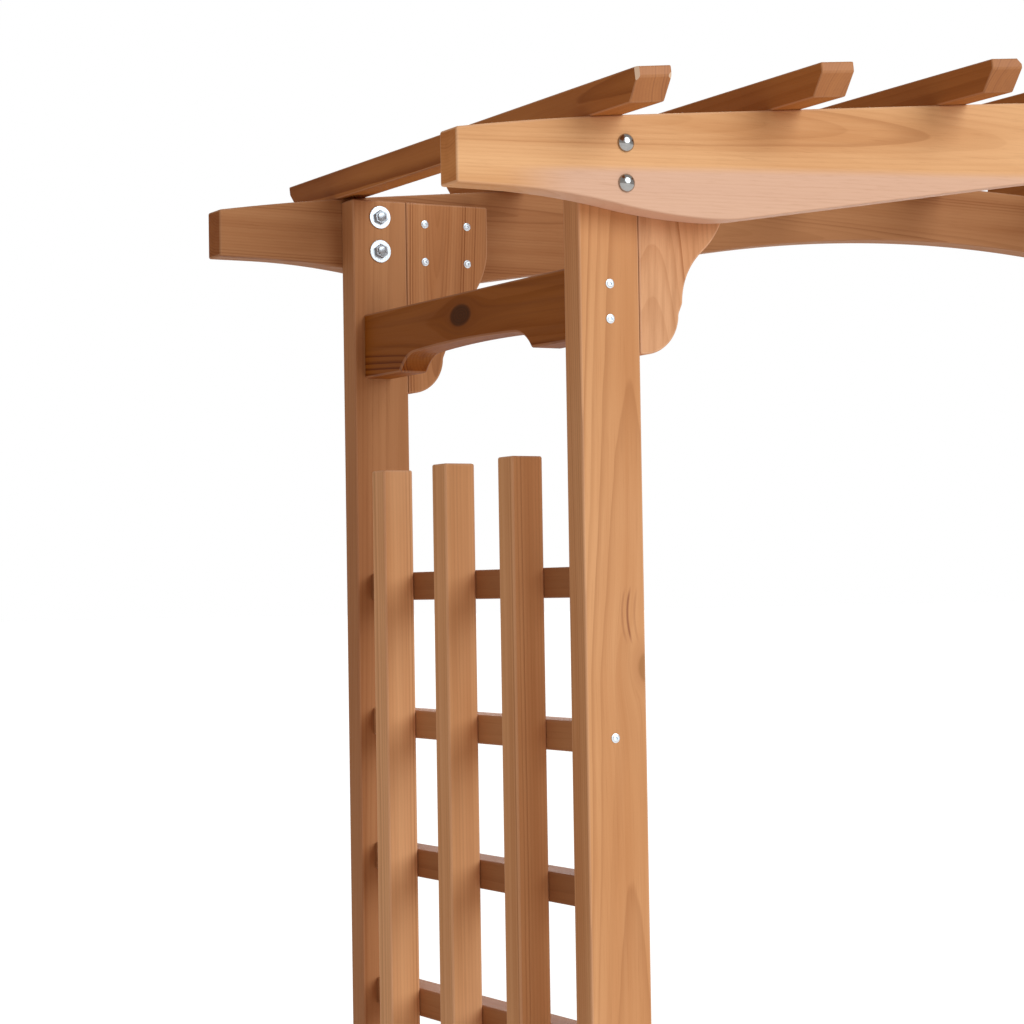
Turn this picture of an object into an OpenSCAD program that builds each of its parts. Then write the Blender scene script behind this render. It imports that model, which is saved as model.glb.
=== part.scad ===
// Cedar wedding arbor: four flat posts, two bolted arch beams with shaped
// corbels, a row of rafters over the top, and a latticed side under a header.
// Origin: on the ground, midway between the posts. +X across the walk,
// +Y from the front beam to the back beam, +Z up.

/* [Overall] */
// Distance across the walk between the outer faces of the posts
post_span = 2236; // [1400:2:2800]
// Distance between the front posts' front face and the back posts' back face
frame_depth = 703; // [500:1:1100]
// Height of the posts above the ground
post_h = 2095; // [1950:1:2150]

/* [Posts] */
// Width of a post, across the walk
post_w = 89; // [60:1:120]
// Thickness of a post, front to back
post_t = 40; // [28:1:60]

/* [Arch beams] */
// Thickness of a beam, front to back
beam_t = 45; // [28:1:60]
// How far a beam runs past the outer face of a post
beam_over = 197; // [100:1:300]
// Height of the beam's top edge above the ground, in the middle
beam_crown_h = 2188; // [2150:1:2300]
// Radius of the top edge in the middle
beam_top_r = 5000; // [3500:50:7000]
// Slope of the straight part of the top edge, in degrees
beam_top_lean = 5.7; // [4:0.1:8]
// Length at each end over which the top edge curves down again
beam_end_l = 265; // [150:5:400]
// Radius of the top edge at the ends
beam_end_r = 4500; // [2500:50:8000]
// Depth of the beam in the middle
beam_mid_depth = 96; // [60:1:140]
// Radius of the lower edge in the middle
arch_r = 2700; // [2000:50:3200]
// Height of the lowest part of the lower edge above the ground
bump_h = 1980; // [1940:1:2040]
// Distance from the post's outer face in to the lowest part of the lower edge
bump_in = 179; // [120:1:260]
// Radius of the rounded lowest part on the side of the walk
bump_r = 300; // [200:10:800]
// Radius of the rounded lowest part on the outer side
bump_out_r = 900; // [500:10:1400]
// Rise of the lower edge from the lowest part out to the tail
tail_rise = 25; // [10:1:40]
// Length of the level tail at the beam's end
tail_l = 60; // [20:1:80]

/* [Corbels] */
// Width of a corbel at its top
corbel_w = 139; // [100:1:180]
// Height of a corbel
corbel_h = 288; // [240:1:330]
// Height of the straight outer edge at the corbel's top
corbel_edge_h = 62; // [30:1:90]
// Radius of the rounded lower end
corbel_toe_r = 54; // [30:1:64]
// Level landing between the rounded lower end and the post
corbel_toe_flat = 6; // [2:1:14]
// Width of the neck above the rounded lower end
corbel_neck_w = 66; // [64:1:80]
// Height of the neck above the corbel's lower end
corbel_neck_h = 68; // [64:1:90]
// Width at which the hollow of the ogee turns into the swell
corbel_turn_w = 97; // [85:1:110]

/* [Side header rails] */
// Thickness of a header, across the walk
header_t = 45; // [28:1:60]
// Height of the header's top edge above the ground
header_top_h = 1922; // [1890:1:1945]
// Distance from the post's outer face in to the header
header_in = 16; // [8:1:30]
// Depth of the header at its ends
header_end_depth = 95; // [85:1:120]
// Depth of the header in the middle
header_mid_depth = 66; // [40:1:70]
// Length of the full-depth part at each end
header_end_l = 105; // [60:1:150]
// Radius of the shallow arch in the lower edge
header_arch_r = 3000; // [1500:50:5000]
// Radius of the cove at each end of the arch
header_cove_r = 60; // [45:1:80]

/* [Rafters] */
// Number of rafters, one of them in the middle
rafter_n = 9; // [5:2:13]
// Distance from one rafter to the next, across the walk
rafter_pitch = 275; // [180:1:290]
// Width of a rafter
rafter_w = 51; // [35:1:70]
// Height of a rafter
rafter_h = 41; // [35:1:75]
// How far a rafter runs past the outer face of a beam
rafter_over = 119; // [30:1:160]
// Height of the plumb nose at a rafter's end
rafter_nose = 13; // [5:1:25]
// How far the undercut runs back from the nose
rafter_cut = 24; // [10:1:35]

/* [Lattice] */
// Thickness of a slat, across the walk
slat_t = 46; // [25:1:60]
// Width of a slat, front to back
slat_w = 40; // [25:1:60]
// Number of slats
slat_n = 3; // [2:1:5]
// Distance from one slat to the next
slat_pitch = 190; // [120:1:240]
// Height of the slats' lower ends above the ground
slat_low_h = 45; // [20:1:90]
// Height of the slats' upper ends above the ground
slat_top_h = 1683; // [1600:1:1760]
// Thickness of a rail, across the walk
rail_t = 45; // [25:1:60]
// Height of a rail
rail_h = 40; // [25:1:60]
// Number of rails
rail_n = 8; // [5:1:9]
// Distance from one rail to the next
rail_pitch = 199; // [120:1:205]
// Height of the top rail's lower face above the ground
rail_top_h = 1496; // [1400:1:1550]
// Depth that the slats are let into the rails
slat_let_in = 1; // [0.5:0.5:3]

/* [Hidden] */

cedar_light = [0.80, 0.56, 0.37];
cedar = [0.66, 0.42, 0.25];
cedar_dark = [0.52, 0.30, 0.16];

post_x = post_span/2;
face_y = frame_depth/2;
rail_l = frame_depth - 2*post_t;
beam_half = post_span/2 + beam_over;
bump_x = post_x - bump_in;
tail_x = beam_half - tail_l;
beam_mid_h = beam_crown_h - beam_mid_depth;
mid_arc = beam_top_r*sin(beam_top_lean);
mid_arc_h = beam_crown_h - beam_top_r*(1 - cos(beam_top_lean));
end_arc = beam_half - beam_end_l;
end_arc_h = mid_arc_h - (end_arc - mid_arc)*tan(beam_top_lean);
tail_run = beam_half - tail_l - (post_x - bump_in);
rafter_l = frame_depth + 2*(beam_t + rafter_over);

// Height gained at distance t along an S-curve of two arcs and the straight that
// touches both: it starts level at a low point, on an arc of radius low, and ends
// level after the run and the rise, on an arc of radius high.
function swell(t, run, rise, low, high) =
    let (both = low + high,
         slope = atan2(run, both - rise) - acos(min(1, both/norm([run, both - rise]))))
    t <= low*sin(slope) ? low - sqrt(low*low - t*t)
    : run - t <= high*sin(slope) ? rise - high + sqrt(high*high - (run - t)*(run - t))
    : low*(1 - cos(slope)) + (t - low*sin(slope))*tan(slope);

// Slope of the beam's top edge at x, in degrees
function top_slope(x) =
    let (a = abs(x))
    sign(x)*(a <= mid_arc ? asin(a/beam_top_r)
             : a <= end_arc ? beam_top_lean
             : asin(sin(beam_top_lean) + (a - end_arc)/beam_end_r));

// Height of the beam's top edge at x
function beam_top(x) =
    let (a = abs(x))
    a <= mid_arc ? beam_crown_h - beam_top_r*(1 - cos(top_slope(a)))
    : a <= end_arc ? mid_arc_h - (a - mid_arc)*tan(beam_top_lean)
    : end_arc_h - beam_end_r*(cos(beam_top_lean) - cos(top_slope(a)));

// Height of the beam's lower edge at x
function beam_low(x) =
    let (a = abs(x))
    a <= bump_x ? bump_h + swell(bump_x - a, bump_x, beam_mid_h - bump_h, bump_r, arch_r)
    : a <= tail_x ? bump_h + swell(a - bump_x, tail_run, tail_rise, bump_out_r,
        (tail_run*tail_run + tail_rise*tail_rise)/(2*tail_rise) - bump_out_r)
    : bump_h + tail_rise;

// Points from low to high along an S-curve that starts and ends upright,
// given its foot, its turning point and its head
function ogee(foot, turn, head, n) =
    let (r1 = ((turn.x - foot.x)^2 + (turn.y - foot.y)^2)/(2*(turn.x - foot.x)),
         r2 = ((head.x - turn.x)^2 + (head.y - turn.y)^2)/(2*(head.x - turn.x)))
    concat([for (i = [0 : n])
                let (z = (turn.y - foot.y)*i/n)
                [foot.x + r1 - sqrt(r1*r1 - z*z), foot.y + z]],
           [for (i = [1 : n])
                let (z = (head.y - turn.y)*(1 - i/n))
                [head.x - r2 + sqrt(r2*r2 - z*z), head.y - z]]);

// A shape for the left side is drawn with the walk towards +X
module at_side(side) {
    if (side < 0) translate([-post_x, 0, 0]) children();
    else translate([post_x, 0, 0]) mirror([1, 0, 0]) children();
}

module at_end(end) {
    if (end < 0) translate([0, -face_y, 0]) children();
    else translate([0, face_y, 0]) mirror([0, 1, 0]) children();
}

// Lays an outline drawn in X and Z down as a board that runs back in Y
module board(t) {
    translate([0, t, 0]) rotate([90, 0, 0]) linear_extrude(t) children();
}

module post(side, end) {
    color(cedar) at_side(side) at_end(end) cube([post_w, post_t, post_h]);
}

module beam(end) {
    top = [for (i = [50 : -1 : -50]) let (x = i*beam_half/50) [x, beam_top(x)]];
    low = [for (i = [-100 : 100]) let (x = i*beam_half/100) [x, beam_low(x)]];
    color(cedar_light) at_end(end) translate([0, -beam_t, 0])
        board(beam_t) polygon(concat(low, top));
}

module corbel(side, end) {
    toe_x = corbel_toe_flat;
    toe = [for (a = [0 : 5 : 90])
        [toe_x + corbel_toe_r*sin(a), corbel_toe_r*(1 - cos(a))]];
    curve = ogee([corbel_neck_w, corbel_neck_h],
                 [corbel_turn_w, corbel_neck_h + (corbel_h - corbel_edge_h - corbel_neck_h)*0.43],
                 [corbel_w, corbel_h - corbel_edge_h], 16);
    color(cedar) at_side(side) at_end(end) translate([post_w, 0, post_h - corbel_h])
        board(post_t)
            polygon(concat([[0, corbel_h], [0, 0]], toe, curve, [[corbel_w, corbel_h]]));
}

module header(side) {
    half = rail_l/2;
    run = half - header_end_l;
    rise = header_end_depth - header_mid_depth;
    cove_y = run - header_cove_r;
    cove_z = rise - header_arch_r + sqrt((header_arch_r - header_cove_r)^2 - cove_y^2);
    from = atan2(cove_y, cove_z - rise + header_arch_r);
    to = acos(-cove_z/header_cove_r);
    cove = [for (i = [0 : 10])
        let (a = from + (to - from)*i/10)
        [cove_y + header_cove_r*sin(a), cove_z + header_cove_r*cos(a)]];
    arch = [for (i = [0 : 12])
        let (a = from*i/12)
        [header_arch_r*sin(a), rise - header_arch_r*(1 - cos(a))]];
    right = concat(arch, [for (i = [1 : 10]) cove[i]], [[half, 0], [half, header_end_depth]]);
    left = [for (i = [len(right) - 1 : -1 : 1]) [-right[i].x, right[i].y]];
    color(cedar_dark) at_side(side)
        translate([header_in, 0, header_top_h - header_end_depth])
            rotate([90, 0, 90]) linear_extrude(header_t) polygon(concat(right, left));
}

module lattice(side) {
    rail_x = (post_w - rail_t)/2;
    color(cedar) at_side(side) union() {
        for (i = [0 : rail_n - 1])
            translate([rail_x, -rail_l/2, rail_top_h - i*rail_pitch]) cube([rail_t, rail_l, rail_h]);
        for (i = [0 : slat_n - 1])
            translate([rail_x - slat_t, (i - (slat_n - 1)/2)*slat_pitch - slat_w/2, slat_low_h])
                cube([slat_t + slat_let_in, slat_w, slat_top_h - slat_low_h]);
    }
}

module rafter(k) {
    x = (k - (rafter_n + 1)/2)*rafter_pitch;
    color(cedar_dark) translate([x, 0, beam_top(x)]) rotate([0, top_slope(x), 0])
        translate([-rafter_w/2, 0, 0]) rotate([90, 0, 90]) linear_extrude(rafter_w)
            polygon([
                [rafter_cut - rafter_l/2, 0], [rafter_l/2 - rafter_cut, 0],
                [rafter_l/2, rafter_h - rafter_nose], [rafter_l/2, rafter_h],
                [-rafter_l/2, rafter_h], [-rafter_l/2, rafter_h - rafter_nose]]);
}

post(-1, -1);  // post_front_left
post(1, -1);  // post_front_right
post(-1, 1);  // post_back_left
post(1, 1);  // post_back_right
beam(-1);  // beam_front
beam(1);  // beam_back
corbel(-1, -1);  // corbel_front_left
corbel(1, -1);  // corbel_front_right
corbel(-1, 1);  // corbel_back_left
corbel(1, 1);  // corbel_back_right
header(-1);  // header_left
header(1);  // header_right
lattice(-1);  // lattice_left
lattice(1);  // lattice_right
rafter(1);  // rafter_1
rafter(2);  // rafter_2
rafter(3);  // rafter_3
rafter(4);  // rafter_4
rafter(5);  // rafter_5
rafter(6);  // rafter_6
rafter(7);  // rafter_7
rafter(8);  // rafter_8
rafter(9);  // rafter_9
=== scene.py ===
"""Cedar wedding arbor: eased timbers, bolts, washers, nuts and screws built around the fixed frame."""

import math

import bmesh
import bpy
from bpy.props import (FloatProperty, FloatVectorProperty, IntProperty, PointerProperty)
from mathutils import Matrix, Vector, noise


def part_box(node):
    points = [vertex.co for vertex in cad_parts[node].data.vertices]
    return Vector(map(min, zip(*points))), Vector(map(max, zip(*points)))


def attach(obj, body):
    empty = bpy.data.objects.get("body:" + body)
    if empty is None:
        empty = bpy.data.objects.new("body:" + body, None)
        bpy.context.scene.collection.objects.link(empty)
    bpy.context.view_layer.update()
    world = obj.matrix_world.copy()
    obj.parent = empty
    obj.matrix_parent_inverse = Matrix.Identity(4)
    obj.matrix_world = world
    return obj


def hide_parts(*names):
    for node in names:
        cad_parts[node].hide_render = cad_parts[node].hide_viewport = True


bl_info = {
    "name": "Wedding arbor",
    "version": (1, 0, 0),
    "blender": (4, 5, 0),
    "location": "3D View > Sidebar > Arbor",
    "description": "Builds a cedar arbor with arched beams, rafters, lattice sides and its bolts and screws",
    "category": "Add Mesh",
}

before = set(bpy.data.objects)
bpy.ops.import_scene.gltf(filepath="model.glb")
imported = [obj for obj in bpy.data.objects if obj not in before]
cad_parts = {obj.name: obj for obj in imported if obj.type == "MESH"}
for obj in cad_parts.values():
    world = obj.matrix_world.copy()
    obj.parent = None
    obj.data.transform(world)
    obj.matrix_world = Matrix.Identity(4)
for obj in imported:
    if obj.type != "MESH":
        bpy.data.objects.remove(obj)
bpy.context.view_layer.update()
RAFTERS = sorted((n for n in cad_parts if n.startswith("rafter_")), key=lambda n: int(n.split("_")[1]))
POSTS = ["post_front_left", "post_front_right", "post_back_left", "post_back_right"]


# ---------------------------------------------------------------- shader maths

class Value:
    """A socket or number in a node tree that takes part in arithmetic."""

    def __init__(self, tree, socket):
        self.tree, self.socket = tree, socket

    def math(self, operation, *others):
        return self.tree.math(operation, self, *others)

    def __add__(self, other): return self.math("ADD", other)
    def __radd__(self, other): return self.math("ADD", other)
    def __sub__(self, other): return self.math("SUBTRACT", other)
    def __rsub__(self, other): return self.tree.math("SUBTRACT", other, self)
    def __mul__(self, other): return self.math("MULTIPLY", other)
    def __rmul__(self, other): return self.math("MULTIPLY", other)
    def __truediv__(self, other): return self.math("DIVIDE", other)
    def __pow__(self, other): return self.math("POWER", other)

    def size(self): return self.math("ABSOLUTE")
    def clamp(self): return self.tree.node("ShaderNodeClamp", {}, self)[0]
    def root(self): return self.math("SQRT")
    def cycle(self): return self.math("FRACT")

    def between(self, low, high, to_low=0.0, to_high=1.0):
        """Smooth step from one range to another."""
        return self.tree.node("ShaderNodeMapRange", {"interpolation_type": "SMOOTHSTEP"},
                              self, low, high, to_low, to_high)[0]


class Tree:
    """Adds nodes to a node tree: type, settings, then the values or links of the sockets in order."""

    def __init__(self, tree):
        self.tree = tree

    def node(self, kind, settings, *inputs, **named):
        made = self.tree.nodes.new(kind)
        for key, value in settings.items():
            setattr(made, key, value)
        for key, value in list(enumerate(inputs)) + list(named.items()):
            if value is None:
                continue
            socket = made.inputs[key.replace("_", " ") if isinstance(key, str) else key]
            if isinstance(value, Value):
                self.tree.links.new(value.socket, socket)
            else:
                socket.default_value = value
        return [Value(self, out) for out in made.outputs if out.enabled]

    def math(self, operation, *values):
        return self.node("ShaderNodeMath", {"operation": operation}, *values)[0]

    def noise(self, vector, scale, detail=2.0, rough=0.5):
        return self.node("ShaderNodeTexNoise", {"noise_dimensions": "3D"}, None, None,
                         Vector=vector, Scale=scale, Detail=detail, Roughness=rough)[0]

    def vector(self, x, y, z):
        return self.node("ShaderNodeCombineXYZ", {}, x, y, z)[0]

    def split(self, vector):
        return self.node("ShaderNodeSeparateXYZ", {}, vector)

    def attribute(self, name):
        return self.node("ShaderNodeAttribute", {"attribute_name": name})

    def deepen(self, colour, tone):
        """A colour made lighter or darker; darker wood is also redder."""
        light = tone + 1
        tint = self.vector(light, light ** 1.3, light ** 1.5)
        return self.node("ShaderNodeVectorMath", {"operation": "MULTIPLY"}, colour, tint)[0]

    def blend(self, factor, one, two):
        """Mix of two colours."""
        made = self.tree.nodes.new("ShaderNodeMix")
        made.data_type, made.clamp_factor = "RGBA", True
        for key, value in ((0, factor), (6, one), (7, two)):
            if isinstance(value, Value):
                self.tree.links.new(value.socket, made.inputs[key])
            else:
                made.inputs[key].default_value = value
        return Value(self, made.outputs[2])


def srgb(red, green, blue):
    """Linear colour of an 8-bit one."""
    def one(c):
        c /= 255
        return c / 12.92 if c <= 0.04045 else ((c + 0.055) / 1.055) ** 2.4
    return (one(red), one(green), one(blue), 1.0)


def new_material(name):
    material = bpy.data.materials.new(name)
    material.use_nodes = True
    material.node_tree.nodes.clear()
    return material, Tree(material.node_tree)


def finish_shader(tree, colour, roughness, normal=None, **constants):
    shader = tree.tree.nodes.new("ShaderNodeBsdfPrincipled")
    for key, value in (("Base Color", colour), ("Roughness", roughness), ("Normal", normal)):
        if isinstance(value, Value):
            tree.tree.links.new(value.socket, shader.inputs[key])
        elif value is not None:
            shader.inputs[key].default_value = value
    for key, value in constants.items():
        shader.inputs[key.replace("_", " ")].default_value = value
    out = tree.tree.nodes.new("ShaderNodeOutputMaterial")
    tree.tree.links.new(shader.outputs[0], out.inputs[0])


def cedar(name, pale, mid, dark, look, contrast=1.0):
    """Oiled cedar cut from a round log: growth rings, fibres, streaks and knots in the board's grain space.

    Each board carries these attributes: grain (metres from the log's heart, x along it), board (tone,
    warmth, seed), knot (place over the knot's size, and its half width), plug (how dark the knot is), split
    (place over the size of a resin split), sap (metres inside the sapwood), cut (1 on dull end grain, below
    0 on pale end grain), an arris mark (1 on a rounded arris, which gets a painted highlight) and bare (1
    where a chip has taken the finish off).
    """
    material, t = new_material(name)
    tone, warmth, seed = t.split(t.attribute("board")[1])
    gx, gy, gz = t.split(t.attribute("grain")[1])
    kx, ky, kb = t.split(t.attribute("knot")[1])
    su, sv, _ = t.split(t.attribute("split")[1])
    cut, plug, sap, arris_highlight, bare = (t.attribute(n)[2] for n in ("cut", "plug", "sap", "arris_highlight", "bare"))

    # the fibres part around the knot, and sapwood stops short of a long beam's ends
    reach = kx * kx + ky * ky
    gy = gy - ky * kb * 1.5 / (1 + reach * 0.3)
    inboard = 1 - gx.size().between(1.14, 1.26)
    gx = gx + seed * 17.0
    drift = t.noise(t.vector(gx * 0.9, gy * 4.0, gz * 4.0), 1.0, 2.0)
    ripple = t.noise(t.vector(gx * 7.0, gy * 30.0, gz * 30.0), 1.0, 2.0)
    radius = (gy * gy + gz * gz).root() + (drift - 0.5) * look.ring_drift + (ripple - 0.5) * 0.0016
    ring = (radius / look.ring_width).cycle()
    late = ring.between(0.35, 0.94) * (1 - ring.between(0.94, 1.0))
    # some years leave a strong line, most a faint one
    year = t.noise(t.vector(gx * 0.12, radius * 95.0, seed * 9.0), 1.0, 1.0)
    line = late * (0.3 + year.between(0.5, 0.72) * 1.5)
    band = t.noise(t.vector(gx * 0.25, radius * 42.0, seed * 5.0), 1.0, 2.0)
    streak = t.noise(t.vector(gx * 0.8, gy * 60.0, gz * 60.0), 1.0, 3.0, 0.6)
    fibre = t.noise(t.vector(gx * 10.0, gy * 700.0, gz * 700.0), 1.0, 2.0, 0.6)
    pores = t.noise(t.vector(gx * 50.0, gy * 1100.0, gz * 1100.0), 1.0, 1.0, 0.5)
    patch = t.noise(t.vector(gx * 2.2, gy * 7.0, gz * 7.0), 1.0, 2.0)

    shade = (streak - 0.5) * 0.7 + (band - 0.5) * 1.1 + (patch - 0.5) * 0.8 + 0.56
    colour = t.blend(shade.between(0.05, 0.95), mid, pale)
    rose = (pale[0] * 0.90, pale[1] * 1.02, pale[2] * 1.55, 1.0)
    pink = (sap + (drift - 0.5) * 0.02).between(-0.004, 0.010) * inboard
    blush = (warmth + (patch - 0.5) * 0.8).between(0.2, 1.0)
    colour = t.blend((pink * 0.85 + blush * 0.3).clamp(), colour, rose)
    colour = t.blend((line * (look.ring_strength * contrast) * (1 - pink * 0.6)).clamp(), colour, dark)
    colour = t.blend(((streak - 0.5) * (contrast - 1) * 2.2).clamp(), colour, dark)
    colour = t.blend(fibre.between(0.5, 0.85) * look.fibre_strength, colour, dark)
    # knot: dark plug with its own rings in a warm halo; split: a thin dark seam
    size = reach.root()
    edge = size + (ripple - 0.5) * 0.6 + (patch - 0.5) * 0.9
    core = (1 - edge.between(0.8, 1.15)) * plug
    halo = (1 - edge.between(0.8, 2.6)) * (0.35 - plug * 0.2)
    colour = t.blend(halo, colour, dark)
    turn = (size * 4.0 + ripple * 0.8).cycle()
    heartwood = t.blend(turn * 0.5, (pale[0] * 0.17, pale[1] * 0.14, pale[2] * 0.03, 1.0),
                        (pale[0] * 0.34, pale[1] * 0.27, pale[2] * 0.06, 1.0))
    colour = t.blend(core, colour, heartwood)
    for off, strength in ((0.0, 0.75), (2.6, 0.32), (-3.4, 0.22)):
        seam = (sv - su * su * 2.2 + off + (ripple - 0.5) * 2.4).size()
        seam = (1 - seam.between(0.05, 0.9)) * (1 - su.size().between(0.5, 1.0))
        colour = t.blend(seam * strength, colour, srgb(132, 74, 50))
    # end grain drinks more oil and dulls, each rounded arris gets a painted highlight as if it caught the
    # light, and a chip shows raw wood
    soaked = t.node("ShaderNodeVectorMath", {"operation": "MULTIPLY"}, colour, (0.80, 0.60, 0.40))[0]
    colour = t.blend(cut.clamp(), colour, soaked)
    colour = t.blend((0 - cut).clamp(), colour, srgb(214, 160, 128))
    # painted highlight: the rounded arrises are lightened as if they caught the light
    colour = t.blend(arris_highlight * 0.17, colour, srgb(236, 190, 160))
    colour = t.blend(bare, t.deepen(colour, tone), srgb(222, 186, 156))
    roughness = (0.5 + late * 0.1 + fibre * 0.1 + cut * 0.15 + bare * 0.2).clamp()
    height = fibre * 0.5 + line * 0.35 + pores * 0.25 - core * 0.4
    normal = t.node("ShaderNodeBump", {}, Strength=look.relief, Distance=0.0005, Height=height)[0]
    finish_shader(t, colour, roughness, normal, IOR=1.45, Specular_IOR_Level=0.10)
    return material


def zinc(name, tint, roughness, patchy):
    """Zinc-plated or galvanised steel with faint spangle and scuffs."""
    material, t = new_material(name)
    place = t.node("ShaderNodeTexCoord", {})[3]
    cloud = t.noise(place, 260.0, 3.0, 0.6)
    scuff = t.noise(place, 1400.0, 2.0, 0.5)
    shaded = (tint[0] * 0.62, tint[1] * 0.64, tint[2] * 0.66, 1.0)
    colour = t.blend((cloud - 0.5) * patchy + 0.5, tint, shaded)
    rough = (roughness + (scuff - 0.5) * 0.25 + (cloud - 0.5) * 0.2).clamp()
    normal = t.node("ShaderNodeBump", {}, Strength=0.15, Distance=0.0002, Height=scuff)[0]
    finish_shader(t, colour, rough, normal, Metallic=1.0)
    return material


# ---------------------------------------------------------------- settings

class ArborTimberLook(bpy.types.PropertyGroup):
    """How the cedar boards are finished."""
    ease: FloatProperty(name="Eased edge", description="Radius of the sanded arrises", default=0.0028,
                        min=0.0005, max=0.008, unit="LENGTH")
    seam: FloatProperty(name="Seam", description="Gap left between a corbel and its post", default=0.0026,
                        min=0.0, max=0.004, unit="LENGTH")
    ring_width: FloatProperty(name="Ring width", description="Width of a growth ring", default=0.0044,
                              min=0.001, max=0.02, unit="LENGTH")
    nose_drop: FloatProperty(name="Nose height", description="Height of the foot of a rafter's plumb nose",
                             default=0.029, min=0.01, max=0.05, unit="LENGTH")
    sap_height: FloatProperty(name="Sapwood height", default=2.091, min=0.0, unit="LENGTH",
                              description="Height of the sapwood's edge in the middle of the front beam")
    ring_drift: FloatProperty(name="Ring drift", description="How far the rings wander from round",
                              default=0.010, min=0.0, max=0.05, unit="LENGTH")
    ring_strength: FloatProperty(name="Ring contrast", description="Darkness of the late wood", default=0.30,
                                 min=0.0, max=1.0, subtype="FACTOR")
    fibre_strength: FloatProperty(name="Fibre contrast", description="Darkness of the fine fibres",
                                  default=0.22, min=0.0, max=1.0, subtype="FACTOR")
    relief: FloatProperty(name="Relief", description="Strength of the raised grain", default=0.35,
                          min=0.0, max=1.0, subtype="FACTOR")
    post_colour: FloatVectorProperty(name="Posts", description="Pale tone of the posts and lattice",
                                     default=srgb(220, 160, 110)[:3], subtype="COLOR", min=0.0, max=1.0)
    beam_colour: FloatVectorProperty(name="Beams", description="Pale tone of the arch beams",
                                     default=srgb(232, 175, 123)[:3], subtype="COLOR", min=0.0, max=1.0)
    rafter_colour: FloatVectorProperty(name="Rafters", description="Pale tone of the rafters",
                                       default=srgb(182, 114, 56)[:3], subtype="COLOR", min=0.0, max=1.0)
    header_colour: FloatVectorProperty(name="Headers", description="Pale tone of the side headers",
                                       default=srgb(162, 94, 30)[:3], subtype="COLOR", min=0.0, max=1.0)


class ArborHardware(bpy.types.PropertyGroup):
    """Sizes of the bolts and screws."""
    bolt_head: FloatProperty(name="Bolt head", description="Diameter of a carriage bolt's domed head",
                             default=0.0235, min=0.01, max=0.04, unit="LENGTH")
    bolt_size: FloatProperty(name="Bolt", description="Diameter of a carriage bolt's shank", default=0.0127,
                             min=0.005, max=0.02, unit="LENGTH")
    bolt_spacing: FloatProperty(name="Bolt spacing", description="Distance between a post's two bolts",
                                default=0.051, min=0.03, max=0.1, unit="LENGTH")
    bolt_drop: FloatProperty(name="Bolt drop", description="Distance from the post's top to its upper bolt",
                             default=0.0255, min=0.01, max=0.1, unit="LENGTH")
    washer: FloatProperty(name="Washer", description="Outside diameter of a washer", default=0.034,
                          min=0.02, max=0.05, unit="LENGTH")
    screw_head: FloatProperty(name="Screw head", description="Diameter of a screw's head", default=0.0120,
                              min=0.006, max=0.02, unit="LENGTH")


class ArborStudio(bpy.types.PropertyGroup):
    """Floor, lights and camera."""
    floor_size: FloatProperty(name="Floor", description="Width of the floor", default=400.0, min=10.0,
                              unit="LENGTH")
    floor_colour: FloatVectorProperty(name="Floor colour", description="Colour of the floor",
                                      default=(0.93, 0.93, 0.92), subtype="COLOR", min=0.0, max=1.0)
    key_power: FloatProperty(name="Key light", description="Strength of the key light", default=2.02, min=0.0)
    bounce_power: FloatProperty(name="Bounce light", description="Strength of the light from below",
                                default=0.75, min=0.0)
    back_power: FloatProperty(name="Back light", description="Strength of the light from behind",
                              default=0.9, min=0.0)
    sky: FloatProperty(name="Surround", description="Strength of the even light all round", default=0.5,
                       min=0.0)
    lens: FloatProperty(name="Lens", description="Focal length of the camera", default=92.65, unit="CAMERA")


# ---------------------------------------------------------------- boards

AXIS = {"X": Vector((1, 0, 0)), "Y": Vector((0, 1, 0)), "Z": Vector((0, 0, 1))}

# rise of the front beam's sapwood edge for each metre of its length
SAP_RISE = 0.048
# tone of a rafter's freshly cut end, paler than its faces
PALE_END = -0.4
# a board without a knot or split has it this far away, in metres
FAR_AWAY = 40.0


def write_attribute(mesh, name, kind, domain, values):
    layer = mesh.attributes.new(name, kind, domain)
    layer.data.foreach_set("value" if kind == "FLOAT" else "vector", values)


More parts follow.
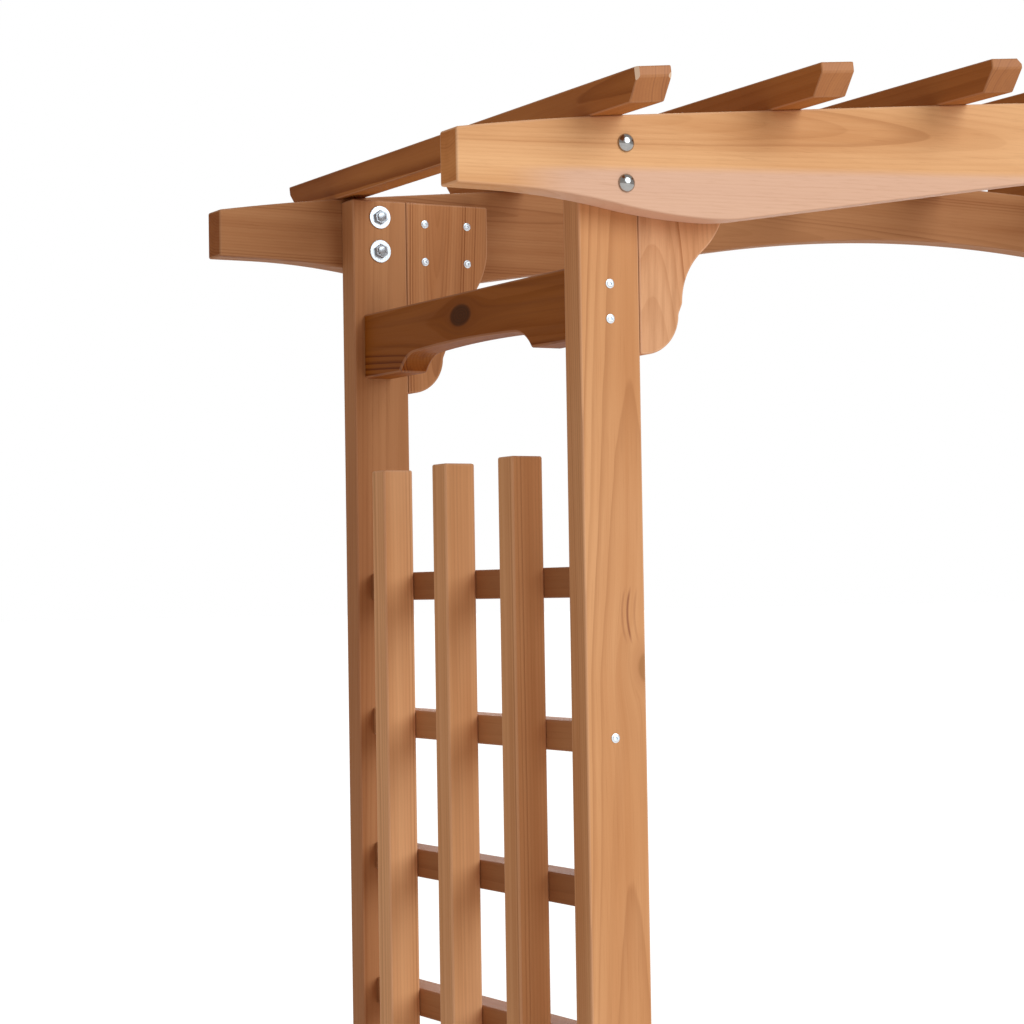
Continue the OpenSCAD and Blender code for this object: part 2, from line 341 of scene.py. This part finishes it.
def grain_a_board(mesh, along, across, heart, lean=(0.0, 0.0), board=(0.0, 0.3, 0.5), knot=None, plug=1.0,
                  split=None, sap=None, end=1.0):
    """Writes the attributes the cedar reads.

    heart is how far the log's heart lies from the board's middle, across and into it, and lean is how much it
    drifts with the length. knot and split are (place along, place across, half length, half width), sap is
    (place across, rise with the length, 1 or -1 for the side it lies on), and end is the end grain's tone.
    """
    through = along.cross(across)
    points = [v.co for v in mesh.vertices]
    low = Vector([min(p[i] for p in points) for i in range(3)])
    high = Vector([max(p[i] for p in points) for i in range(3)])
    middle = (low + high) / 2
    values = {"grain": [], "knot": [], "split": [], "board": list(board) * len(points)}
    sapwood = []
    kx, ky, ka, kb = knot or (FAR_AWAY, FAR_AWAY, 1.0, 0.001)
    sx, sy, sa, sb = split or (FAR_AWAY, FAR_AWAY, 1.0, 0.01)
    for point in points:
        off = point - middle
        x, y, z = off.dot(along), off.dot(across), off.dot(through)
        values["grain"] += [x, y - heart[0] - lean[0] * x, z - heart[1] - lean[1] * x]
        values["knot"] += [(x - kx) / ka, (y - ky) / kb, kb]
        values["split"] += [(x - sx) / sa, (y - sy) / sb, 0.0]
        sapwood.append((y - sap[0] - sap[1] * x) * sap[2] if sap else -1.0)
    for name, numbers in values.items():
        write_attribute(mesh, name, "FLOAT_VECTOR", "POINT", numbers)
    write_attribute(mesh, "sap", "FLOAT", "POINT", sapwood)
    write_attribute(mesh, "plug", "FLOAT", "POINT", [plug] * len(points))
    chipped, sanded = mesh.attributes.get("chip"), mesh.attributes["arris"]
    faces = {"cut": [], "arris_highlight": [], "bare": []}
    for face in mesh.polygons:
        on_arris = float(sanded.data[face.index].value)
        squareness = min(1.0, max(0.0, abs(face.normal.dot(along)) * 2.5 - 1.4))
        # arris faces are kept off the end grain and carry the painted highlight
        faces["cut"] += [end * squareness * (1 - on_arris)] * face.loop_total
        faces["arris_highlight"] += [on_arris] * face.loop_total
        faces["bare"] += [float(chipped.data[face.index].value) if chipped else 0.0] * face.loop_total
    for name, numbers in faces.items():
        write_attribute(mesh, name, "FLOAT", "CORNER", numbers)


def eased_mesh(name, shape, edges, ease):
    """Rounds these edges and marks the new faces as sanded arrises, which the cedar gives a painted
    highlight.
    """
    arris = shape.faces.layers.int.new("arris")
    made = bmesh.ops.bevel(shape, geom=edges, offset=ease, offset_type="OFFSET", segments=3, profile=0.5,
                           affect="EDGES", clamp_overlap=True)
    for face in made["faces"]:
        face[arris] = 1
    mesh = bpy.data.meshes.new(name)
    shape.to_mesh(mesh)
    shape.free()
    return mesh


def eased_copy(node, ease, chips=()):
    """A frame node's board with its arrises sanded round; chips are (corners, size) breaks in its edges."""
    shape = bmesh.new()
    shape.from_mesh(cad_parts[node].data)
    bmesh.ops.remove_doubles(shape, verts=shape.verts, dist=2e-5)
    bmesh.ops.dissolve_limit(shape, angle_limit=math.radians(0.04), verts=shape.verts, edges=shape.edges)
    bmesh.ops.recalc_face_normals(shape, faces=shape.faces)
    chip = shape.faces.layers.int.new("chip")
    for corners, size in chips:
        ends = [min(shape.verts, key=lambda v: (v.co - c).length) for c in corners]
        edges = [e for e in ends[0].link_edges if len(ends) == 2 and e.other_vert(ends[0]) is ends[1]]
        made = bmesh.ops.bevel(shape, geom=edges or ends, offset=size, offset_type="OFFSET", segments=1,
                               profile=0.5, affect="EDGES" if edges else "VERTICES", clamp_overlap=True)
        for face in made["faces"]:
            face[chip] = 1
    sharp = [e for e in shape.edges if len(e.link_faces) == 2 and e.calc_face_angle() > math.radians(17)
             and not any(f[chip] for f in e.link_faces)]
    return eased_mesh(node, shape, sharp, ease)


def set_in_place(name, mesh, material, slot, *nodes):
    """Links a finished piece, lets it ride on the frame and stand for its nodes."""
    piece = bpy.data.objects.new(name, mesh)
    bpy.context.scene.collection.objects.link(piece)
    if material and not mesh.materials:
        mesh.materials.append(material)
    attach(piece, "root")
    if nodes:
        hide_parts(*nodes)
    return piece


def chance(seed, low, high):
    """A repeatable number for a seed."""
    value = noise.cell(Vector((seed * 1.37 + 0.5, seed * 0.71 + 3.5, 0.5)))
    return low + (high - low) * (value * 0.5 + 0.5 if value < 0 else value)


def wood_for(name, tone, contrast=1.0):
    look = bpy.context.scene.arbor_timber
    r, g, b = tone
    pale = (r, g, b, 1.0)
    mid = (r * 0.76, g * 0.64, b * 0.54, 1.0)
    dark = (r * 0.42, g * 0.28, b * 0.2, 1.0)
    return bpy.data.materials.get(name) or cedar(name, pale, mid, dark, look, contrast)


class ARBOR_OT_posts(bpy.types.Operator):
    """Stands the four posts"""
    bl_idname = "arbor.posts"
    bl_label = "Posts"

    def execute(self, context):
        look = context.scene.arbor_timber
        wood = wood_for("Cedar_posts", look.post_colour)
        grains = {
            "post_front_left": dict(heart=(0.02, 0.11), lean=(0.006, 0.012), board=(0.0, 0.3, 0.31),
                                    knot=(0.358, 0.044, 0.020, 0.012), plug=0.3,
                                    split=(0.425, 0.018, 0.040, 0.0030)),
            "post_front_right": dict(heart=(-0.02, 0.12), lean=(-0.005, 0.011), board=(-0.04, 0.3, 0.77)),
            "post_back_left": dict(heart=(0.04, -0.13), lean=(0.006, -0.009), board=(-0.30, 0.2, 0.12)),
            "post_back_right": dict(heart=(0.0, -0.12), lean=(0.004, 0.010), board=(-0.1, 0.3, 0.55),
                                    knot=(-0.3, -0.02, 0.014, 0.009), plug=0.8),
        }
        for node in POSTS:
            mesh = eased_copy(node, look.ease)
            grain_a_board(mesh, AXIS["Z"], AXIS["X"], **grains[node])
            set_in_place("Post_" + node[5:], mesh, wood, "post_wood", node)
        return {"FINISHED"}


class ARBOR_OT_beams(bpy.types.Operator):
    """Bolts up the two arch beams"""
    bl_idname = "arbor.beams"
    bl_label = "Arch beams"

    def execute(self, context):
        look = context.scene.arbor_timber
        wood = wood_for("Cedar_beams", look.beam_colour)
        for node, heart, lean, board, sapwood in (
                ("beam_front", (0.035, -0.050), (0.012, -0.034), (0.0, 0.2, 0.42), True),
                ("beam_back", (0.0, 0.060), (-0.010, 0.030), (-0.46, 0.15, 0.83), False)):
            low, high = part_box(node)
            sap = (look.sap_height - (low.z + high.z) / 2, SAP_RISE, -1) if sapwood else None
            mesh = eased_copy(node, look.ease)
            grain_a_board(mesh, AXIS["X"], AXIS["Z"], heart, lean, board, sap=sap)
            set_in_place("Beam_" + node[5:], mesh, wood, "beam_wood", node)
        return {"FINISHED"}


class ARBOR_OT_corbels(bpy.types.Operator):
    """Fits a shaped corbel beside each post"""
    bl_idname = "arbor.corbels"
    bl_label = "Corbels"

    def execute(self, context):
        look = context.scene.arbor_timber
        wood = wood_for("Cedar_corbels", look.post_colour, 1.9)
        for node, heart, board in (("corbel_front_left", (-0.05, 0.09), (0.12, 0.8, 0.62)),
                                   ("corbel_front_right", (0.06, 0.08), (0.0, 0.4, 0.18)),
                                   ("corbel_back_left", (-0.02, -0.035), (-0.16, 0.1, 0.27)),
                                   ("corbel_back_right", (0.03, -0.07), (-0.1, 0.2, 0.91))):
            mesh = eased_copy(node, look.ease)
            low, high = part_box(node)
            post_side = low.x if low.x < 0 else high.x
            for v in mesh.vertices:
                if abs(v.co.x - post_side) < 0.0002:
                    v.co.x += math.copysign(look.seam, -post_side)
            grain_a_board(mesh, AXIS["Z"], AXIS["X"], heart, (0.03, 0.06), board)
            set_in_place("Corbel_" + node[7:], mesh, wood, "corbel_wood", node)
        return {"FINISHED"}


class ARBOR_OT_headers(bpy.types.Operator):
    """Fits the scooped header between the posts of each side"""
    bl_idname = "arbor.headers"
    bl_label = "Side headers"

    def execute(self, context):
        look = context.scene.arbor_timber
        wood = wood_for("Cedar_headers", look.header_colour, 2.4)
        for node, heart, board, knot in (
                ("header_left", (0.01, 0.06), (-0.08, 0.0, 0.21), (0.003, 0.016, 0.030, 0.0145)),
                ("header_right", (-0.02, -0.07), (-0.05, 0.1, 0.66), (0.12, -0.01, 0.016, 0.009))):
            mesh = eased_copy(node, look.ease)
            grain_a_board(mesh, AXIS["Y"], AXIS["Z"], heart, (0.03, 0.01), board, knot)
            set_in_place("Header_" + node[7:], mesh, wood, "header_wood", node)
        return {"FINISHED"}


class ARBOR_OT_rafters(bpy.types.Operator):
    """Lays the rafters across the beams"""
    bl_idname = "arbor.rafters"
    bl_label = "Rafters"

    def execute(self, context):
        look = context.scene.arbor_timber
        wood = wood_for("Cedar_rafters", look.rafter_colour, 1.5)
        for i, node in enumerate(RAFTERS):
            low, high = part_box(node)
            nose = low.z + look.nose_drop
            chips = {"rafter_1": [((Vector((low.x, low.y, high.z)), Vector((low.x, low.y, nose))), 0.0045),
                                  ((Vector((high.x, low.y, nose)),), 0.006)],
                     "rafter_3": [((Vector((high.x, low.y, high.z)),), 0.009)]}
            mesh = eased_copy(node, look.ease * 0.7, chips.get(node, ()))
            heart = (chance(i, -0.05, 0.05), chance(i + 30, 0.03, 0.1))
            lean = (chance(i + 40, -0.01, 0.01), 0.004)
            board = (chance(i + 50, -0.12, 0.1), chance(i + 70, 0.0, 0.5), chance(i + 60, 0, 1))
            grain_a_board(mesh, AXIS["Y"], AXIS["Z"], heart, lean, board, end=PALE_END)
            set_in_place("Rafter_" + node[7:], mesh, wood, "rafter_wood", node)
        return {"FINISHED"}


# ---------------------------------------------------------------- geometry nodes

def socket_id(tree, name):
    return next(i.identifier for i in tree.interface.items_tree if i.item_type == "SOCKET"
                and i.in_out == "INPUT" and i.name == name)


def new_geometry_tree(name, inputs):
    tree = bpy.data.node_groups.new(name, "GeometryNodeTree")
    tree.interface.new_socket("Geometry", in_out="INPUT", socket_type="NodeSocketGeometry")
    for label, kind in inputs:
        tree.interface.new_socket(label, in_out="INPUT", socket_type="NodeSocket" + kind)
    tree.interface.new_socket("Geometry", in_out="OUTPUT", socket_type="NodeSocketGeometry")
    t = Tree(tree)
    return tree, t, {v.socket.name: v for v in t.node("NodeGroupInput", {})}


def close_geometry_tree(t, geometry, material):
    whole = t.node("GeometryNodeRealizeInstances", {}, geometry)[0]
    finished = t.node("GeometryNodeSetMaterial", {}, whole, None, material)[0]
    t.node("NodeGroupOutput", {}, finished)


def bar_tree():
    """Rows of equal bars: a template bar at every step of a line, each with its own tone and seed."""
    tree, t, given = new_geometry_tree("Rows of bars", [
        ("Bar", "Object"), ("Count", "Int"), ("First", "Vector"), ("Step", "Vector"), ("Seed", "Int"),
        ("Darkest", "Vector"), ("Lightest", "Vector"), ("Material", "Material")])
    line = t.node("GeometryNodeMeshLine", {"mode": "OFFSET", "count_mode": "TOTAL"}, Count=given["Count"],
                  Start_Location=given["First"], Offset=given["Step"])[0]
    bar = t.node("GeometryNodeObjectInfo", {"transform_space": "ORIGINAL"}, given["Bar"])
    bar = next(v for v in bar if v.socket.name == "Geometry")
    row = t.node("GeometryNodeInstanceOnPoints", {}, line, None, bar)[0]
    tones = t.node("FunctionNodeRandomValue", {"data_type": "FLOAT_VECTOR"}, Min=given["Darkest"],
                   Max=given["Lightest"], Seed=given["Seed"])[0]
    row = t.node("GeometryNodeStoreNamedAttribute", {"data_type": "FLOAT_VECTOR", "domain": "INSTANCE"}, row,
                 None, "board", tones)[0]
    close_geometry_tree(t, row, given["Material"])
    return tree


def fastener_tree():
    """Seats a template fastener on every point, facing along the point's facing attribute."""
    tree, t, given = new_geometry_tree("Seated fasteners", [("Fastener", "Object"), ("Twist", "Float"),
                                                            ("Seed", "Int"), ("Material", "Material")])
    part = t.node("GeometryNodeObjectInfo", {"transform_space": "ORIGINAL"}, given["Fastener"])
    part = next(v for v in part if v.socket.name == "Geometry")
    facing = t.node("GeometryNodeInputNamedAttribute", {"data_type": "FLOAT_VECTOR"}, "facing")[0]
    turn = t.node("FunctionNodeAlignRotationToVector", {"axis": "Z"}, None, None, facing)[0]
    spin = t.node("FunctionNodeRandomValue", {"data_type": "FLOAT"}, None, None, 0.0, given["Twist"],
                  Seed=given["Seed"])[0]
    about = t.node("ShaderNodeCombineXYZ", {}, 0.0, 0.0, spin)[0]
    about = t.node("FunctionNodeEulerToRotation", {}, about)[0]
    turn = t.node("FunctionNodeRotateRotation", {"rotation_space": "LOCAL"}, turn, about)[0]
    seated = t.node("GeometryNodeInstanceOnPoints", {}, given["Geometry"], None, part, None, None, turn)[0]
    close_geometry_tree(t, seated, given["Material"])
    return tree


def run_tree(name, tree, mesh, settings):
    """Runs a geometry tree on a mesh and returns the plain mesh it makes."""
    carrier = bpy.data.objects.new(name, mesh)
    bpy.context.scene.collection.objects.link(carrier)
    modifier = carrier.modifiers.new(name, "NODES")
    modifier.node_group = tree
    for label, value in settings.items():
        modifier[socket_id(tree, label)] = value
    depsgraph = bpy.context.evaluated_depsgraph_get()
    made = bpy.data.meshes.new_from_object(carrier.evaluated_get(depsgraph), depsgraph=depsgraph)
    bpy.data.objects.remove(carrier)
    return made


def template(name, mesh):
    """A hidden helper object that a geometry tree copies."""
    helper = bpy.data.objects.new(name, mesh)
    bpy.context.scene.collection.objects.link(helper)
    return helper


def eased_bar(name, size, ease, along, across, heart):
    """A square bar of this size about its own middle, with its grain."""
    shape = bmesh.new()
    bmesh.ops.create_cube(shape, size=1.0, matrix=Matrix.Diagonal((*size, 1.0)))
    mesh = eased_mesh(name, shape, shape.edges[:], ease)
    grain_a_board(mesh, along, across, heart)
    mesh.attributes.remove(mesh.attributes["board"])
    return mesh


class ARBOR_OT_lattice(bpy.types.Operator):
    """Builds each lattice side from its rows of slats and rails"""
    bl_idname = "arbor.lattice"
    bl_label = "Lattice sides"

    rails: IntProperty(name="Rails", description="Number of rails on a side", default=8, min=2)
    slats: IntProperty(name="Slats", description="Number of slats on a side", default=3, min=1)
    rail_height: FloatProperty(name="Rail height", description="Height of a rail", default=0.040,
                               unit="LENGTH")
    rail_pitch: FloatProperty(name="Rail pitch", description="Distance from one rail to the next",
                              default=0.199, unit="LENGTH")
    rail_top: FloatProperty(name="Top rail", description="Height of the top rail's lower face", default=1.496,
                            unit="LENGTH")
    rail_thick: FloatProperty(name="Rail thickness", description="Thickness of a rail", default=0.045,
                              unit="LENGTH")
    slat_width: FloatProperty(name="Slat width", description="Width of a slat", default=0.040, unit="LENGTH")
    slat_pitch: FloatProperty(name="Slat pitch", description="Distance from one slat to the next",
                              default=0.190, unit="LENGTH")

    def execute(self, context):
        look = context.scene.arbor_timber
        wood = wood_for("Cedar_lattice", look.post_colour)
        tree = bar_tree()
        for seed, node in enumerate(("lattice_left", "lattice_right")):
            low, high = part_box(node)
            side = -1 if low.x < 0 else 1
            slat_thick = (high.x - low.x) - self.rail_thick
            inner = high.x if side < 0 else low.x
            rail_x = inner + side * self.rail_thick / 2
            slat_x = inner + side * (self.rail_thick + slat_thick / 2)
            slat_size = (slat_thick, self.slat_width, high.z - low.z)
            rail_size = (self.rail_thick, high.y - low.y, self.rail_height)
            up, back = AXIS["Z"], AXIS["Y"]
            slat = template("slat", eased_bar("slat", slat_size, look.ease, up, back, (0.02, 0.06)))
            rail = template("rail", eased_bar("rail", rail_size, look.ease, back, up, (0.01, 0.05)))
            first = -(self.slats - 1) / 2 * self.slat_pitch
            meshes = [
                run_tree("slats", tree, bpy.data.meshes.new("slats"), {
                    "Bar": slat, "Count": self.slats, "First": (slat_x, first, (low.z + high.z) / 2),
                    "Step": (0.0, self.slat_pitch, 0.0), "Seed": seed, "Darkest": (-0.10, 0.1, 0.0),
                    "Lightest": (0.10, 0.45, 1.0), "Material": wood}),
                run_tree("rails", tree, bpy.data.meshes.new("rails"), {
                    "Bar": rail, "Count": self.rails,
                    "First": (rail_x, 0.0, self.rail_top + self.rail_height / 2),
                    "Step": (0.0, 0.0, -self.rail_pitch), "Seed": seed + 5, "Darkest": (-0.50, 0.0, 0.0),
                    "Lightest": (-0.30, 0.2, 1.0), "Material": wood})]
            bpy.data.objects.remove(slat)
            bpy.data.objects.remove(rail)
            mesh = join_meshes("Lattice_" + node[8:], meshes)
            set_in_place("Lattice_" + node[8:], mesh, wood, "lattice_wood", node)
        return {"FINISHED"}


def join_meshes(name, meshes):
    """Several meshes as one, attributes and all."""
    objects = [template(name, m) for m in meshes]
    with bpy.context.temp_override(active_object=objects[0], selected_editable_objects=objects,
                                   selected_objects=objects, object=objects[0]):
        bpy.ops.object.join()
    mesh = objects[0].data
    bpy.data.objects.remove(objects[0])
    return mesh


# ---------------------------------------------------------------- fasteners

# where the screws go: inwards from a corbel's post side and down from its top, down from a header's top,
# and up from the ground at the lattice rails
CORBEL_SCREWS = [(inwards, drop) for inwards in (0.031, 0.103) for drop in (0.032, 0.089)]
HEADER_SCREWS = (0.026, 0.071)
RAIL_SCREWS = (1.317, 0.322)
RAIL_SCREW_OFFSET = 0.003
WASHER_THICK = 0.0024
FULL_TURN = 6.28
DOME_HEIGHT = 0.0072

def lathe(name, outline, steps=28, around=None):
    """Turns an outline of (radius, height) points round Z; around gives a radius factor for an angle."""
    shape = bmesh.new()
    rows = []
    for radius, height in outline:
        if radius <= 1e-7:
            rows.append([shape.verts.new((0, 0, height))] * steps)
            continue
        row = []
        for k in range(steps):
            a = 2 * math.pi * k / steps
            r = radius * (around(a) if around else 1.0)
            row.append(shape.verts.new((r * math.cos(a), r * math.sin(a), height)))
        rows.append(row)
    for one, two in zip(rows, rows[1:]):
        for k in range(steps):
            corners = [one[k], one[(k + 1) % steps], two[(k + 1) % steps], two[k]]
            corners = list(dict.fromkeys(corners))
            if len(corners) > 2:
                shape.faces.new(corners)
    bmesh.ops.recalc_face_normals(shape, faces=shape.faces)
    mesh = bpy.data.meshes.new(name)
    shape.to_mesh(mesh)
    shape.free()
    for face in mesh.polygons:
        face.use_smooth = True
    mesh.set_sharp_from_angle(angle=math.radians(35))
    return mesh


def points_mesh(name, places):
    """Loose points with the way each fastener faces."""
    mesh = bpy.data.meshes.new(name)
    mesh.from_pydata([p for p, f in places], [], [])
    write_attribute(mesh, "facing", "FLOAT_VECTOR", "POINT", [c for p, f in places for c in f])
    return mesh


def dome_head(size, height):
    """Domed carriage bolt head with a thin rim, seated at z 0."""
    r = size / 2
    outline = [(0, height)]
    for i in range(1, 9):
        a = math.radians(90 * i / 8)
        outline.append((r * math.sin(a), 0.0008 + (height - 0.0008) * math.cos(a)))
    outline += [(r, 0.0), (0, 0.0)]
    return lathe("dome", outline, 32)


def flat_washer(washer, bolt):
    """Flat washer with softened rims, seated at z 0."""
    thick, rim = WASHER_THICK, washer / 2
    return lathe("washer", [(bolt * 0.55, 0), (rim - 0.0004, 0), (rim, 0.0004), (rim, thick - 0.0004),
                            (rim - 0.0004, thick), (bolt * 0.55, thick), (bolt * 0.55, 0)], 40)


def nut_on_thread(bolt):
    """Hex nut with chamfered corners on the bolt's threaded end, standing on its washer."""
    flat = bolt * 1.5 / 2
    hexagon = lambda a: 1 / math.cos((a + math.pi / 6) % (math.pi / 3) - math.pi / 6)
    foot, top, end = WASHER_THICK, WASHER_THICK + bolt * 0.4, WASHER_THICK + bolt * 0.52
    nut = lathe("nut", [(0, foot), (flat * 0.94, foot), (flat, foot + 0.001), (flat, top - 0.001),
                        (flat * 0.93, top), (bolt * 0.52, top), (bolt * 0.52, top - 0.001), (0, top - 0.001)],
                36, hexagon)
    turns = 6
    pitch = (end - top + 0.002) / turns
    thread = [(0, top - 0.002)]
    for i in range(turns):
        z = top - 0.002 + pitch * i
        thread += [(bolt * 0.44, z), (bolt * 0.5, z + pitch * 0.5)]
    thread += [(bolt * 0.42, end), (0, end)]
    return join_meshes("nut_on_thread", [nut, lathe("thread", thread, 24)])


def screw_head(size):
    """Washer-head screw with a low crown and a driving recess."""
    r = size / 2
    outline = [(0, 0.0010), (r * 0.26, 0.0010), (r * 0.34, 0.0026), (r * 0.62, 0.0024), (r * 0.74, 0.0014),
               (r, 0.0009), (r, 0.0), (0, 0.0)]
    return lathe("screw", outline, 28)


class ARBOR_OT_fasteners(bpy.types.Operator):
    """Seats the carriage bolts, washers, nuts and screws"""
    bl_idname = "arbor.fasteners"
    bl_label = "Bolts and screws"

    def execute(self, context):
        steel = context.scene.arbor_hardware
        bright = zinc("Bright_zinc", (0.46, 0.44, 0.42, 1.0), 0.16, 0.9)
        dull = zinc("Galvanised_steel", (0.86, 0.90, 0.94, 1.0), 0.42, 0.6)
        dark = zinc("Dull_zinc", (0.36, 0.36, 0.37, 1.0), 0.30, 0.9)
        tree = fastener_tree()
        heads, nuts, screws = [], [], []
        for node in POSTS:
            low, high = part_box(node)
            front = low.y < 0
            out = -1 if front else 1
            beam_low, beam_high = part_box("beam_front" if front else "beam_back")
            outer = beam_low.y if front else beam_high.y
            inner = high.y if front else low.y
            face = low.y if front else high.y
            x = (low.x + high.x) / 2
            for k in range(2):
                z = high.z - steel.bolt_drop - k * steel.bolt_spacing
                heads.append(((x, outer, z), (0, out, 0)))
                nuts.append(((x, inner, z), (0, -out, 0)))
            side = "left" if x < 0 else "right"
            corbel_low, corbel_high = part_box(node.replace("post", "corbel"))
            for inwards, drop in CORBEL_SCREWS:
                cx = corbel_low.x + inwards if side == "left" else corbel_high.x - inwards
                screws.append(((cx, inner, corbel_high.z - drop), (0, -out, 0)))
            header_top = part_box("header_" + side)[1].z
            for drop in HEADER_SCREWS:
                screws.append(((x, face, header_top - drop), (0, out, 0)))
            for height in RAIL_SCREWS:
                screws.append(((x - RAIL_SCREW_OFFSET, face, height), (0, out, 0)))
        for name, mesh, places, material, twist in (
                ("Bolt_heads", dome_head(steel.bolt_head, DOME_HEIGHT), heads, bright, 0.0),
                ("Washers", flat_washer(steel.washer, steel.bolt_size), nuts, dull, FULL_TURN),
                ("Nuts", nut_on_thread(steel.bolt_size), nuts, dark, FULL_TURN),
                ("Screw_heads", screw_head(steel.screw_head), screws, dull, FULL_TURN)):
            helper = template("fastener", mesh)
            made = run_tree(name, tree, points_mesh(name, places),
                            {"Fastener": helper, "Twist": twist, "Seed": 4, "Material": material})
            bpy.data.objects.remove(helper)
            set_in_place(name, made, material, None)
        return {"FINISHED"}


# ---------------------------------------------------------------- stage

# where the camera stands, and its yaw, pitch and roll in radians
CAMERA_PLACE = (-2.8082, -3.2243, 1.500)
CAMERA_TURN = (0.5047, 0.0317, 0.016)

# lights: name, direction they shine in, spread in degrees and colour
KEY = ("Key", (-0.42, 1.0, -0.46), 38, (0.80, 0.92, 1.0))
BOUNCE = ("Bounce", (-0.1, 0.55, 0.9), 60, (0.95, 0.97, 1.0))
BACK = ("Back", (-0.8, -1.0, -0.5), 40, (1, 1, 1))
SURROUND_COLOUR = (1.0, 0.955, 0.91, 1.0)

def sun(name, towards, spread, colour, power):
    """A soft sun that shines along the direction given."""
    light = bpy.data.lights.new(name, "SUN")
    light.energy, light.angle, light.color = power, math.radians(spread), colour
    lamp = bpy.data.objects.new(name, light)
    lamp.rotation_mode = "QUATERNION"
    lamp.rotation_quaternion = Vector(towards).to_track_quat("-Z", "Y")
    bpy.context.scene.collection.objects.link(lamp)


class ARBOR_OT_stage(bpy.types.Operator):
    """Lays the floor and sets the lights and the camera"""
    bl_idname = "arbor.stage"
    bl_label = "Floor, lights and camera"

    def execute(self, context):
        studio = context.scene.arbor_studio
        material, t = new_material("Studio_floor")
        finish_shader(t, (*studio.floor_colour, 1.0), 0.9, Specular_IOR_Level=0.1,
                      Emission_Color=(1.0, 1.0, 1.0, 1.0), Emission_Strength=0.35)
        shape = bmesh.new()
        bmesh.ops.create_grid(shape, x_segments=1, y_segments=1, size=studio.floor_size / 2)
        mesh = bpy.data.meshes.new("Floor")
        shape.to_mesh(mesh)
        shape.free()
        mesh.materials.append(material)
        floor = bpy.data.objects.new("Floor", mesh)
        context.scene.collection.objects.link(floor)
        floor.visible_diffuse = False
        floor.visible_shadow = False

        sun(*KEY, studio.key_power)
        sun(*BOUNCE, studio.bounce_power)
        sun(*BACK, studio.back_power)

        world = bpy.data.worlds.new("Studio")
        world.use_nodes = True
        context.scene.world = world
        world.node_tree.nodes.clear()
        w = Tree(world.node_tree)
        seen = w.node("ShaderNodeLightPath", {})[0]
        even = w.node("ShaderNodeBackground", {}, SURROUND_COLOUR, studio.sky)[0]
        white = w.node("ShaderNodeBackground", {}, (1.0, 1.0, 1.0, 1.0), 1.0)[0]
        both = w.node("ShaderNodeMixShader", {}, seen, even, white)[0]
        w.node("ShaderNodeOutputWorld", {}, both)

        context.scene.view_settings.view_transform = "Standard"
        camera = bpy.data.cameras.new("Camera")
        camera.lens, camera.sensor_width = studio.lens, 36.0
        camera.clip_start, camera.clip_end = 0.1, 500.0
        eye = bpy.data.objects.new("Camera", camera)
        yaw, pitch, roll = CAMERA_TURN
        ahead = Vector((math.sin(yaw) * math.cos(pitch), math.cos(yaw) * math.cos(pitch), math.sin(pitch)))
        right = Vector((math.cos(yaw), -math.sin(yaw), 0.0))
        down = ahead.cross(right)
        right, down = (math.cos(roll) * right + math.sin(roll) * down,
                       math.cos(roll) * down - math.sin(roll) * right)
        turn = Matrix((right, -down, -ahead)).transposed()
        eye.matrix_world = Matrix.Translation(CAMERA_PLACE) @ turn.to_4x4()
        context.scene.collection.objects.link(eye)
        context.scene.camera = eye
        return {"FINISHED"}


class ARBOR_PT_panel(bpy.types.Panel):
    """Lists the arbor's parts"""
    bl_idname = "ARBOR_PT_panel"
    bl_label = "Wedding arbor"
    bl_space_type = "VIEW_3D"
    bl_region_type = "UI"
    bl_category = "Arbor"

    def draw(self, context):
        for group in (context.scene.arbor_timber, context.scene.arbor_hardware, context.scene.arbor_studio):
            box = self.layout.box()
            for key in group.__annotations__:
                box.prop(group, key)
        for operator in OPERATORS:
            self.layout.operator(operator.bl_idname)


GROUPS = {"arbor_timber": ArborTimberLook, "arbor_hardware": ArborHardware, "arbor_studio": ArborStudio}
OPERATORS = (ARBOR_OT_posts, ARBOR_OT_beams, ARBOR_OT_corbels, ARBOR_OT_headers, ARBOR_OT_rafters,
             ARBOR_OT_lattice, ARBOR_OT_fasteners, ARBOR_OT_stage)


def register():
    for cls in (*GROUPS.values(), *OPERATORS, ARBOR_PT_panel):
        bpy.utils.register_class(cls)
    for name, group in GROUPS.items():
        setattr(bpy.types.Scene, name, PointerProperty(type=group))


def unregister():
    for name in GROUPS:
        delattr(bpy.types.Scene, name)
    for cls in reversed((*GROUPS.values(), *OPERATORS, ARBOR_PT_panel)):
        bpy.utils.unregister_class(cls)


def main():
    register()
    bpy.ops.arbor.posts()
    bpy.ops.arbor.beams()
    bpy.ops.arbor.corbels()
    bpy.ops.arbor.headers()
    bpy.ops.arbor.rafters()
    bpy.ops.arbor.lattice()
    bpy.ops.arbor.fasteners()
    bpy.ops.arbor.stage()


if __name__ == "__main__":
    main()
